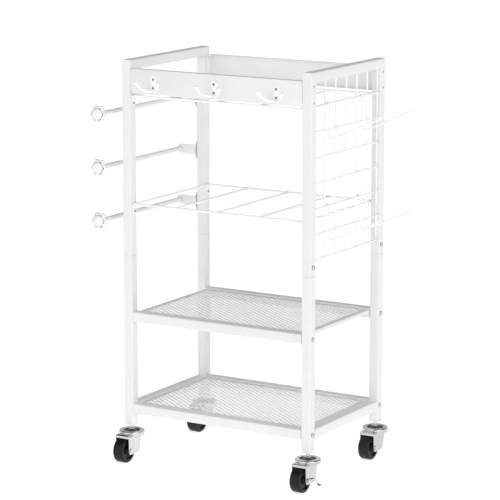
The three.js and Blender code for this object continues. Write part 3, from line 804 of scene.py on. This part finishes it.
def rodBracket(node):
    # an angle: a plate screwed to the post and an arm that the rod's thread goes through
    low, high = boxOf(node)
    rodX, z = middleOf(node.split("_")[0] + "_ribbon_rod").x, middleOf(node).z
    sheet, corner, soft = bracketValues["sheet"], bracketValues["corner"], bracketValues["soft"]
    deep, tall = high.y - low.y, (high.z - low.z) / 2
    plate = [(0, -tall)] + arc((deep - corner, corner - tall), corner, 270, 360, 5)
    plate += arc((deep - corner, tall - corner), corner, 0, 90, 5) + [(0, tall)]
    bm = moved(sheetPart([plate], sheet, soft), sideways(high.x - sheet, low.y, z))
    half, fillet, root = bracketValues["width"] / 2, bracketValues["fillet"], high.x - rodX
    arm = arc((0, 0), half, 90, 270, 16)
    arm += arc((root - sheet - fillet, -half - fillet), fillet, 90, 0, 5)
    arm += [(root - 0.5, -half - fillet), (root - 0.5, half + fillet)]
    arm += arc((root - sheet - fillet, half + fillet), fillet, 0, -90, 5)
    hole = roundHole(rodValues["thread"] / 2 + 0.2)
    absorb(bm, sheetPart([arm, hole], sheet, soft), forwards(rodX, low.y + sheet, z))
    return bm


def rodNut(node):
    low, high = boxOf(node)
    start = (middleOf(node).x, low.y, middleOf(node).z)
    return hexagonNut(start, (0, 1, 0), rodValues["nut"], high.y - low.y)


def starKnob(node):
    # a lobed head round a turned middle: flared hub behind, raised domed face in front
    low, high = boxOf(node)
    middle = middleOf(node)
    radius, edge, hubLength = (high.x - low.x) / 2, knobValues["edge"], knobValues["hubLength"]
    hub, flare = knobValues["hub"] / 2, knobValues["flare"] / 2
    face, bore, dome = knobValues["face"] / 2, knobValues["bore"] / 2, knobValues["dome"]
    front, depth = hubLength + knobValues["head"], knobValues["boreDepth"]

    def lobed(verts, inset, z):
        for vert in verts:
            turn = math.atan2(vert.co.y, vert.co.x)
            dip = knobValues["swing"] * (1 - math.cos(knobValues["lobes"] * turn))
            reach = radius * (1 - dip) - inset
            vert.co = (reach * math.cos(turn), reach * math.sin(turn), z)

    shoulder = shoulderSteps(edge)
    rings = [(edge + 1, hubLength)] + [(inset, hubLength + drop) for inset, drop in shoulder]
    rings += [(inset, front - drop) for inset, drop in shoulder[::-1]] + [(edge + 1, front)]
    bm = bmesh.new()
    place = Matrix.Translation((0, 0, hubLength))
    bmesh.ops.create_circle(bm, segments=96, radius=hub - 1, matrix=place)
    first = last = bm.edges[:]
    for inset, z in rings:
        grown = bmesh.ops.extrude_edge_only(bm, edges=last)
        last = newEdges(grown)
        lobed(newVerts(grown), inset, z)
    bmesh.ops.bridge_loops(bm, edges=first + last)
    turnOutwards(bm)
    profile = [(0, depth), (bore - 0.4, depth), (bore, depth - 0.4), (bore, 0.5)]
    profile += [(bore + 0.5, 0), (hub - 0.6, 0), (hub, 0.6)]
    for t in (0.35, 0.6, 0.8, 1):
        profile.append((hub + (flare - hub) * t * t, 0.6 + (hubLength - 0.2) * t))
    profile += [(face, front - 1), (face, front + 0.2), (face - 0.15, front + 0.6)]
    for degrees in (15, 30, 45, 60, 75, 90):
        turn = math.radians(degrees)
        profile.append((face * math.cos(turn), front + 0.7 + dome * math.sin(turn)))
    absorb(bm, turned(profile, 64))
    return moved(bm, facing((middle.x, high.y, middle.z), (0, -1, 0)))


for level in levels:
    standIn(level + "_ribbon_rod", ribbonRod, [whitePaint])
    standIn(level + "_rod_bracket", rodBracket, [whitePaint])
    standIn(level + "_rod_nut", rodNut, [zinc])
    standIn(level + "_star_knob", starKnob, [knobPlastic], level + "_knob")
print("rods made")


# Double coat hooks on the front band

coatHookValues = {
    "width": 19, "waist": 13, "length": 40, "sheet": 2.2, "prong": 6.2, "ball": 9.5, "rise": 17.5,
    "screwSpacing": 20.9, "spots": ("left", "centre", "right"),
}


def coatHook(node):
    # a waisted plate with two round prongs that sweep down, out and up to a ball
    low, high = boxOf(node)
    values = coatHookValues
    half, waist = values["width"] / 2, values["waist"] / 2
    top = values["length"] / 2 - half
    flank = []
    for i in range(9):
        t = i / 4 - 1
        flank.append((waist + (half - waist) * t * t, top * t))
    outline = flank + arc((0, top), half, 15, 165, 12)
    outline += [(-x, -y) for x, y in flank] + arc((0, -top), half, 195, 345, 12)
    middle = Vector((middleOf(node).x, high.y, high.z - values["length"] / 2))
    bm = moved(sheetPart([outline], values["sheet"], 0.5), forwards(*middle))
    spread = (high.x - low.x) / 2 - values["ball"] / 2
    reach = high.y - low.y - values["ball"] / 2
    root = values["prong"] / 2 - values["length"] / 2
    rise = values["rise"] + values["prong"] / 2
    shares = [(0.12, 0.053, 0), (0.26, 0.337, -0.06), (0.68, 0.735, 0.3), (1, 1, 1)]
    for out in outwardOf.values():
        knots = [(out * spread * a, -reach * b, root + rise * c) for a, b, c in shares]
        path = smoothPath(knots, 6)
        absorb(bm, bentWire(path, values["prong"]), Matrix.Translation(middle))
        ball = bmesh.new()
        bmesh.ops.create_icosphere(ball, subdivisions=3, radius=values["ball"] / 2)
        absorb(bm, ball, Matrix.Translation(middle + path[-1]))
    return bm


for spot in coatHookValues["spots"]:
    standIn(spot + "_coat_hook", coatHook, [paintedLightWirePaint])
print("coat hooks made")


# Peg hooks that hang on the side grid

pegValues = {
    "wire": 4.5, "tail": 11, "leg": 82, "bend": 8, "tip": 12, "slope": 24, "tipSlope": 42,
    "soft": 1.2,
}


def pegHook(node):
    # one wire: over the grid's wire, down the leg, out along the arm and up at the tip
    low, high = boxOf(node)
    wire, bend = pegValues["wire"], pegValues["bend"]
    slope, tipSlope = math.radians(pegValues["slope"]), math.radians(pegValues["tipSlope"])
    loop = wire / 2 + gap + gridValues["wire"] / 2
    origin = Vector((low.x + wire / 2 + loop, middleOf(node).y, high.z - wire / 2 - loop))
    path = [(-loop, -pegValues["tail"])] + arc((0, 0), loop, 180, 0, 12)
    path += arc((loop + bend, bend - pegValues["leg"]), bend, 180, 270 + pegValues["slope"], 12)
    startX, startZ = path[-1]
    endX = high.x - origin.x - 1.4
    kneeX = endX - pegValues["tip"] * math.cos(tipSlope)
    kneeZ = startZ + (kneeX - startX) * math.tan(slope)
    # the knee between arm and tip is eased over three points
    half = (slope + tipSlope) / 2
    path.append((kneeX - 3 * math.cos(slope), kneeZ - 3 * math.sin(slope)))
    path.append((kneeX - 0.9 * math.cos(half), kneeZ - 0.2 * math.sin(half)))
    path.append((kneeX + 3 * math.cos(tipSlope), kneeZ + 3 * math.sin(tipSlope)))
    path.append((endX, kneeZ + (endX - kneeX) * math.tan(tipSlope)))
    return bentWire([origin + Vector((x, 0, z)) for x, z in path], wire, 16, pegValues["soft"])


for level in ("upper", "lower"):
    for end in ends:
        peg = level + "_" + end + "_peg"
        standIn(peg + "_hook", pegHook, [paintedLightWirePaint], peg)
print("peg hooks made")


# Casters: stem, dished fork, wheel, axle and, on two of them, a brake lever

stemLow, stemHigh = boxOf("front_left_stem")
wheelLow, wheelHigh = boxOf("front_left_wheel")
forkLow, forkHigh = boxOf("front_left_fork")
axleZ = (wheelLow.z + wheelHigh.z) / 2
trail = (stemLow.y + stemHigh.y) / 2 - (wheelLow.y + wheelHigh.y) / 2
forkValues = {
    "wall": 2.0,
    "half": 20.5,
    "reach": 11,
    "rear": 25,
    "rearFoot": 21,  # the round rear draws in towards its lower edge
    "flare": 26,
    "corner": 3.0,
    "shoulder": 6.0,
    "lipDepth": 8,
    "bowlDepth": 4.5,
    "skirt": 12,
    "risesFrom": -9.7,  # how far behind the stem the sides' lower edge starts to rise
    "rises": 22,
    "well": 42,  # the darker hollow round the race
    "race": 30,
    "bore": 9.8,
}
stemValues = {
    "kingpin": 16, "neck": 9, "washer": 17.8, "washerSheet": 1.2, "hexagon": 15,
    "hexagonHeight": 4.6, "shank": 10,
}
wheelValues = {"corner": 4.5, "hub": 20, "web": 46, "webDepth": 4, "bore": 6.8}
axleValues = {"head": 9, "headHeight": 3, "shank": 6, "nut": 8.6, "nutHeight": 2.6}
leverValues = {
    "sheet": 2, "eye": 10, "bore": 6.8, "width": 6, "straight": 8, "ramp": 6, "step": 2.5,
    "reach": 30, "tip": 28, "tab": 5, "degrees": 8, "tipDegrees": 37,
}
bowlFloor = forkHigh.z - forkValues["bowlDepth"]


def eased(t):
    return t * t * (3 - 2 * t)


def underPost(node):
    # the foot of the stem's line at this part's corner
    stem = middleOf("_".join(node.split("_")[:2]) + "_stem")
    return Vector((stem.x, stem.y, 0))


def onAxle(node):
    return underPost(node) + Vector((0, -trail, axleZ))


def alongAxle(node):
    # takes the origin to the axle's middle and +Z to the right
    return Matrix.Translation(onAxle(node)) @ Matrix.Rotation(math.pi / 2, 4, "Y")


def hoodPlan(inset):
    # the hood seen from above: front edge, one side, round the rear and back up the other side
    half, rear = forkValues["half"] - inset, forkValues["rear"] - inset
    reach, flare = forkValues["reach"], forkValues["flare"]
    front = -trail - reach + inset
    corner = max(forkValues["corner"] - inset, 0.3)
    flank = arc((half - corner, front + corner), corner, 270, 360, 4)
    for share in (0.75, 0.55, 0.35, 0.15, 0):
        flank.append((half, -trail - (reach - inset - corner) * share))
    flank.append((half, -(trail + flare) / 2))
    for i in range(9):
        flank.append((half + (rear - half) * eased(i / 8), -flare * (1 - i / 8)))
    plan = flank + arc((0, 0), rear, 15, 165, 20) + [(-x, y) for x, y in flank[::-1]]
    plan += [(-(half - corner) * t, front) for t in (0.66, 0.33, 0, -0.33, -0.66)]
    return plan


def forkFoot(y):
    # how low the fork's side runs at each place along the caster
    reach = forkValues["reach"]
    ahead = (-trail - y) / (reach - forkValues["corner"])
    if ahead >= 0:
        return axleZ - reach * math.sqrt(max(1 - ahead * ahead, 0))
    start, end = forkValues["risesFrom"], forkValues["rear"]
    along = max(y - start, 0) / (end - start)
    return axleZ - reach + forkValues["rises"] * along**1.3


def forkHood():
    # a drawn hood: roof, rounded shoulder, front lip, and sides that run down to the axle
    roof = bowlFloor - 1
    lipFoot = roof - forkValues["lipDepth"]
    shoulder = forkValues["shoulder"]
    rows = [(shoulder + 4, roof)] + [(inset, roof - drop) for inset, drop in shoulderSteps(shoulder)]
    rows.append((0, lipFoot))
    bm = bmesh.new()
    loops = bridgedRings(bm, [[(x, y, z) for x, y in hoodPlan(inset)] for inset, z in rows])
    bmesh.ops.contextual_create(bm, geom=loops[0])
    sideStart = forkValues["corner"] - trail - forkValues["reach"] - 0.01
    rim = [e for e in loops[-1] if all(v.co.y > sideStart for v in e.verts)]
    steps = 8
    taper = (1 - forkValues["rearFoot"] / forkValues["rear"]) / steps
    for step in range(steps):
        grown = bmesh.ops.extrude_edge_only(bm, edges=rim)
        rim = newEdges(grown)
        for vert in newVerts(grown):
            vert.co.z = lipFoot + (forkFoot(vert.co.y) - lipFoot) * (step + 1) / steps
            narrowed = 1 - taper * min(max(1 + vert.co.y / forkValues["flare"], 0), 1)
            vert.co.x *= narrowed
            vert.co.y *= narrowed if vert.co.y > 0 else 1
    turnOutwards(bm)
    bmesh.ops.solidify(bm, geom=bm.faces[:], thickness=forkValues["wall"])
    softenEdges(bm, 0.5, 2, 50)
    return bm


def casterFork(node):
    # the dished top: raised race in a well, flat ring round it and a skirt turned down;
    #  the well has the dark second material, so it is darker than the chrome round it
    rim, race, bore = (forkHigh.x - forkLow.x) / 2, forkValues["race"] / 2, forkValues["bore"] / 2
    floor, top, wall, well = bowlFloor, forkHigh.z, forkValues["wall"], forkValues["well"] / 2
    foot = top - forkValues["skirt"]
    profile = [(bore, floor - wall), (bore, floor + 2.6), (bore + 0.4, floor + 3)]
    profile += [(race - 3.5, floor + 3), (race - 2.2, floor + 2.4), (race - 1, floor + 0.7)]
    profile += [(race, floor + 0.1), (race + 1.5, floor)]
    profile += arc((well - 1.5, floor + 1.5), 1.5, 270, 360, 4)
    profile += arc((well + 1.5, top - 1.9), 1.5, 180, 90, 4)
    profile += arc((rim - 4, top - 4), 4, 90, 0, 8)
    profile += [(rim - 0.1, foot + 0.6), (rim - 0.6, foot), (rim - 1.4, foot)]
    profile += [(rim - 1.9, foot + 0.4), (rim - 1.9, floor - wall - 1.2)]
    profile += [(rim - 3.1, floor - wall), (bore, floor - wall)]
    bm = turned(profile, 64)
    # faces inside the well take the dark second material
    for face in bm.faces:
        middle = face.calc_center_median()
        if math.hypot(middle.x, middle.y) < well and middle.z > floor - wall / 2:
            face.material_index = 1
    absorb(bm, forkHood())
    return moved(bm, Matrix.Translation(underPost(node)))


def casterStem(node):
    # shank, hexagon shoulder and washer above the race, kingpin head under the hood
    seat, under = bowlFloor + 3 + gap, bowlFloor - forkValues["wall"] - gap
    kingpin, neck = stemValues["kingpin"] / 2, stemValues["neck"] / 2
    washer, shank = stemValues["washer"] / 2, stemValues["shank"] / 2
    foot, top, shoulder = stemLow.z, stemHigh.z, seat + stemValues["washerSheet"]
    profile = [(0, foot), (kingpin - 0.8, foot), (kingpin, foot + 0.8), (kingpin, under)]
    profile += [(neck, under), (neck, seat), (washer, seat), (washer, shoulder)]
    profile += [(shank, shoulder), (shank, top - 1), (shank - 0.8, top), (0, top)]
    bm = turned(profile, 40)
    height = stemValues["hexagonHeight"]
    absorb(bm, hexagonNut((0, 0, shoulder), (0, 0, 1), stemValues["hexagon"], height, 0.6))
    return moved(bm, Matrix.Translation(underPost(node)))


def casterWheel(node):
    # tread with rounded shoulders, recessed web with a step, and a plain hub
    radius, half = (wheelHigh.z - wheelLow.z) / 2, (wheelHigh.x - wheelLow.x) / 2
    hub, web, bore = wheelValues["hub"] / 2, wheelValues["web"] / 2, wheelValues["bore"] / 2
    inner, corner = half - wheelValues["webDepth"], wheelValues["corner"]
    flank = [(bore, half - 0.4), (bore + 0.4, half), (hub - 0.6, half), (hub, half - 0.6)]
    flank += [(hub + 0.8, inner), (web - 1.2, inner)]
    flank += [(web - 0.4, inner + 0.6), (web, half - 0.6), (web + 0.6, half)]
    flank += arc((radius - corner, half - corner), corner, 90, 10, 7)
    flank += [(radius, half - corner - 1.2), (radius - 0.12, 2.4), (radius - 0.12, 0.1)]
    profile = [(r, -z) for r, z in flank] + flank[::-1]
    return moved(turned(profile + profile[:1], 72), alongAxle(node))


def casterAxle(node):
    # a bolt with a domed head on one side and a lock nut on the other
    left, right = (corner.x - onAxle(node).x for corner in boxOf(node))
    head, shank = axleValues["head"] / 2, axleValues["shank"] / 2
    neck = left + axleValues["headHeight"]
    profile = [(0, left), (head - 2.3, left), (head - 1, left + 0.5), (head - 0.2, left + 1.4)]
    profile += [(head, left + 2.4), (head, neck), (shank, neck)]
    profile += [(shank, right - 0.6), (shank - 0.6, right), (0, right)]
    bolt = turned(profile, 32)
    height = axleValues["nutHeight"]
    nutStart = (0, 0, right - height - 0.5)
    absorb(bolt, hexagonNut(nutStart, (0, 0, 1), axleValues["nut"], height, 0.4))
    return moved(bolt, alongAxle(node))


def brakeLever(node):
    # a pressed strip: an eye on the axle, an arm that steps out, a tip that falls behind the
    # wheel, and a foot tab folded outwards
    half, sheet, eye = leverValues["width"] / 2, leverValues["sheet"], leverValues["eye"] / 2
    straight, ramp, reach = leverValues["straight"], leverValues["ramp"], leverValues["reach"]
    step, fall = leverValues["step"], math.radians(leverValues["tipDegrees"])
    bend, along = half * math.tan(fall / 2), Vector((math.cos(fall), -math.sin(fall)))
    across = Vector((-along.y, along.x)) * half
    end = Vector((reach, 0)) + along * leverValues["tip"]
    meets = math.degrees(math.asin(half / eye))
    stops = [straight + ramp * i / 6 for i in range(7)]
    outline = arc((0, 0), eye, meets, 360 - meets, 28) + [(y, -half) for y in stops]
    outline += [(reach - bend, -half), tuple(end - across - along), tuple(end - across * 0.7)]
    outline += [tuple(end + across * 0.7), tuple(end + across - along), (reach + bend, half)]
    outline += [(y, half) for y in stops[::-1]]
    strip = sheetPart([outline, roundHole(leverValues["bore"] / 2)], sheet, 0.3)
    bm = moved(strip, sideways(0, 0, 0))
    for vert in bm.verts:
        vert.co.x += step * eased(min(max((vert.co.y - straight) / ramp, 0), 1))
    root = end - along * 1.5
    tab = foldedSheet([(0, 0), (leverValues["tab"] + 1, 0)], -half, half, -sheet, 0.4)
    place = Matrix.Translation((step + 1, root.x, root.y))
    absorb(bm, tab, place @ Matrix.Rotation(-fall, 4, "X"))
    tilt = Matrix.Rotation(math.radians(-leverValues["degrees"]), 4, "X")
    axle = onAxle(node)
    return moved(bm, Matrix.Translation((boxOf(node)[0].x, axle.y, axle.z)) @ tilt)


for corner in corners:
    standIn(corner + "_stem", casterStem, [chrome])
    standIn(corner + "_fork", casterFork, [chrome, darkSteel], corner + "_caster")
    standIn(corner + "_wheel", casterWheel, [wheelPlastic], corner + "_roller")
    standIn(corner + "_axle", casterAxle, [chrome], corner + "_caster")
    if corner + "_brake_lever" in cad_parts:
        standIn(corner + "_brake_lever", brakeLever, [chrome], corner + "_brake")
print("casters made")


# Screws: each size is its head's diameter, height and socket, with any washer last

screwValues = {
    "bolt": (8.4, 3.2, 3.8, 11), "screw": (6.8, 2.2, 3.0), "bandScrew": (4.6, 1.2, 2.2),
    "seamRise": 22.8, "bandRises": (9, 48.5),
}
leftwards, rightwards, frontwards = (-1, 0, 0), (1, 0, 0), (0, -1, 0)


def screwsAt(places, size):
    # each place is a point and the direction that the head faces
    bm = bmesh.new()
    for point, direction in places:
        absorb(bm, socketScrew(*screwValues[size]), facing(point, direction))
    return bm


def postPlaces(side, heights):
    # on the outer face of both posts
    x = middleOf(side + "_lower_frame").x + outwardOf[side] * tubeSize / 2
    return [((x, y, z), (outwardOf[side], 0, 0)) for y in (frontY, backY) for z in heights]


def dividerPlaces(node):
    low, high = boxOf(node)
    z = high.z - dividerValues["wire"] / 2 - dividerValues["holeDrop"]
    sheet, places = dividerValues["tabSheet"], []
    for y in (frontY, backY):
        places.append(((low.x + sheet, y, z), rightwards))
        places.append(((high.x - sheet, y, z), leftwards))
    return places


def bracketPlaces():
    places = []
    for level in levels:
        node = level + "_rod_bracket"
        x, middle = boxOf(node)[1].x - bracketValues["sheet"], middleOf(node)
        for rise in (-bracketValues["screwRise"], bracketValues["screwRise"]):
            y = middle.y + bracketValues["screwShift"]
            places.append(((x, y, middle.z + rise), leftwards))
    return places


def coatHookPlaces():
    places = []
    for spot in coatHookValues["spots"]:
        node = spot + "_coat_hook"
        back, z = boxOf(node)[1].y, boxOf(node)[1].z - coatHookValues["length"] / 2
        for share in (-0.5, 0.5):
            rise = share * coatHookValues["screwSpacing"]
            point = (middleOf(node).x, back - coatHookValues["sheet"], z + rise)
            places.append((point, frontwards))
    return places


railHeights = [middleOf(level + "_front_rail").z for level in ("lower", "middle")]
bandHeights = [boxOf("front_band")[0].z + rise for rise in screwValues["bandRises"]]
# each screw's dark second material is painted shade in its socket, and on the bolts also a painted
# shadow ring in the washer
for side in outwardOf:
    seam = boxOf(side + "_lower_frame")[1].z + screwValues["seamRise"]
    bolts = screwsAt(postPlaces(side, railHeights + [seam]), "bolt")
    pieceFrom(side + "PostBolts", bolts, [whitePaint, darkSteel])
    screws = screwsAt(postPlaces(side, bandHeights), "bandScrew")
    pieceFrom(side + "BandScrews", screws, [zinc, darkSteel])
for level in ("middle", "upper"):
    screws = screwsAt(dividerPlaces(level + "_divider"), "screw")
    pieceFrom(level + "DividerScrews", screws, [zinc, darkSteel])
pieceFrom("bracketScrews", screwsAt(bracketPlaces(), "screw"), [zinc, darkSteel])
pieceFrom("coatHookScrews", screwsAt(coatHookPlaces(), "screw"), [zinc, darkSteel])
print("screws made")


# The sleeves and inserts inside the posts keep their shape and get their finish

for corner in corners:
    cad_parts[corner + "_post_sleeve"].material_slots[0].material = zinc
    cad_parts[corner + "_post_insert"].material_slots[0].material = darkPlastic


# Studio: pale floor, soft lights, white surroundings and the camera

studioValues = {
    "floor": "#f2f2f2",
    "floorHalf": 60,
    "floorGlow": 0.66,
    "surroundings": 0.64,
    "overhead": 0.04,
    "wallTop": 0.5,  # the upward share of the direction where the walls end
    "ceiling": 0.65,
    "keySun": (68, 30, 0.95, 50),  # azimuth, elevation, strength and spread
    "fillSun": (-15, 30, 0.6, 60),
}
cameraValues = {
    "azimuth": 31.191, "elevation": 11.041, "distance": 6.2073, "aim": (-0.04321, 0.01252, 0.53798),
    "lens": 178.061, "sensor": 36,
}


def makeFloor():
    bm = bmesh.new()
    bmesh.ops.create_grid(bm, x_segments=1, y_segments=1, size=studioValues["floorHalf"])
    data = bpy.data.meshes.new("floor")
    bm.to_mesh(data)
    bm.free()
    # a lit white sweep: it glows a little, as the paper of a light table does
    material, tree = newMaterial("paleFloor")
    surface = {
        "Base Color": linearColor(studioValues["floor"]), "Roughness": 0.9,
        "Specular IOR Level": 0.2, "Emission Color": (1, 1, 1, 1),
        "Emission Strength": studioValues["floorGlow"],
    }
    shader = addNode(tree, "ShaderNodeBsdfPrincipled", surface)
    addNode(tree, "ShaderNodeOutputMaterial", {"Surface": shader.outputs["BSDF"]})
    data.materials.append(material)
    floor = bpy.data.objects.new("floor", data)
    bpy.context.scene.collection.objects.link(floor)


def towards(azimuth, elevation):
    # azimuth 0 stands in front of the cart and 90 to its right
    turn, rise = math.radians(azimuth), math.radians(elevation)
    level = math.cos(rise)
    return Vector((math.sin(turn) * level, -math.cos(turn) * level, math.sin(rise)))


def softSun(name):
    azimuth, elevation, strength, spread = studioValues[name]
    light = bpy.data.lights.new(name, "SUN")
    light.energy = strength
    light.angle = math.radians(spread)
    lamp = bpy.data.objects.new(name, light)
    turn = towards(azimuth, elevation).to_track_quat("Z", "Y")
    lamp.matrix_world = turn.to_matrix().to_4x4()
    bpy.context.scene.collection.objects.link(lamp)


def makeSurroundings():
    # pale walls all round and a dark ceiling, which draws a dark line along each rounded
    # chrome edge
    world = bpy.data.worlds.new("studio")
    world.use_nodes = True
    tree = world.node_tree
    background = tree.nodes["Background"]
    background.inputs["Color"].default_value = (1, 1, 1, 1)
    heading = addNode(tree, "ShaderNodeTexCoord", {})
    split = {"Vector": heading.outputs["Generated"]}
    upward = addNode(tree, "ShaderNodeSeparateXYZ", split)
    fading = {
        "Value": upward.outputs["Z"], "From Min": studioValues["wallTop"],
        "From Max": studioValues["ceiling"], "To Min": studioValues["surroundings"],
        "To Max": studioValues["overhead"],
    }
    walls = addNode(tree, "ShaderNodeMapRange", fading)
    tree.links.new(walls.outputs["Result"], background.inputs["Strength"])
    bpy.context.scene.world = world
    bpy.context.scene.view_settings.view_transform = "Standard"


def makeCamera():
    away = towards(cameraValues["azimuth"], cameraValues["elevation"])
    data = bpy.data.cameras.new("photoCamera")
    data.lens = cameraValues["lens"]
    data.sensor_width = cameraValues["sensor"]
    data.clip_end = 100
    camera = bpy.data.objects.new("photoCamera", data)
    place = Matrix.Translation(Vector(cameraValues["aim"]) + away * cameraValues["distance"])
    camera.matrix_world = place @ away.to_track_quat("Z", "Y").to_matrix().to_4x4()
    bpy.context.scene.collection.objects.link(camera)
    bpy.context.scene.camera = camera


makeFloor()
softSun("keySun")
softSun("fillSun")
makeSurroundings()
makeCamera()
print("studio made")
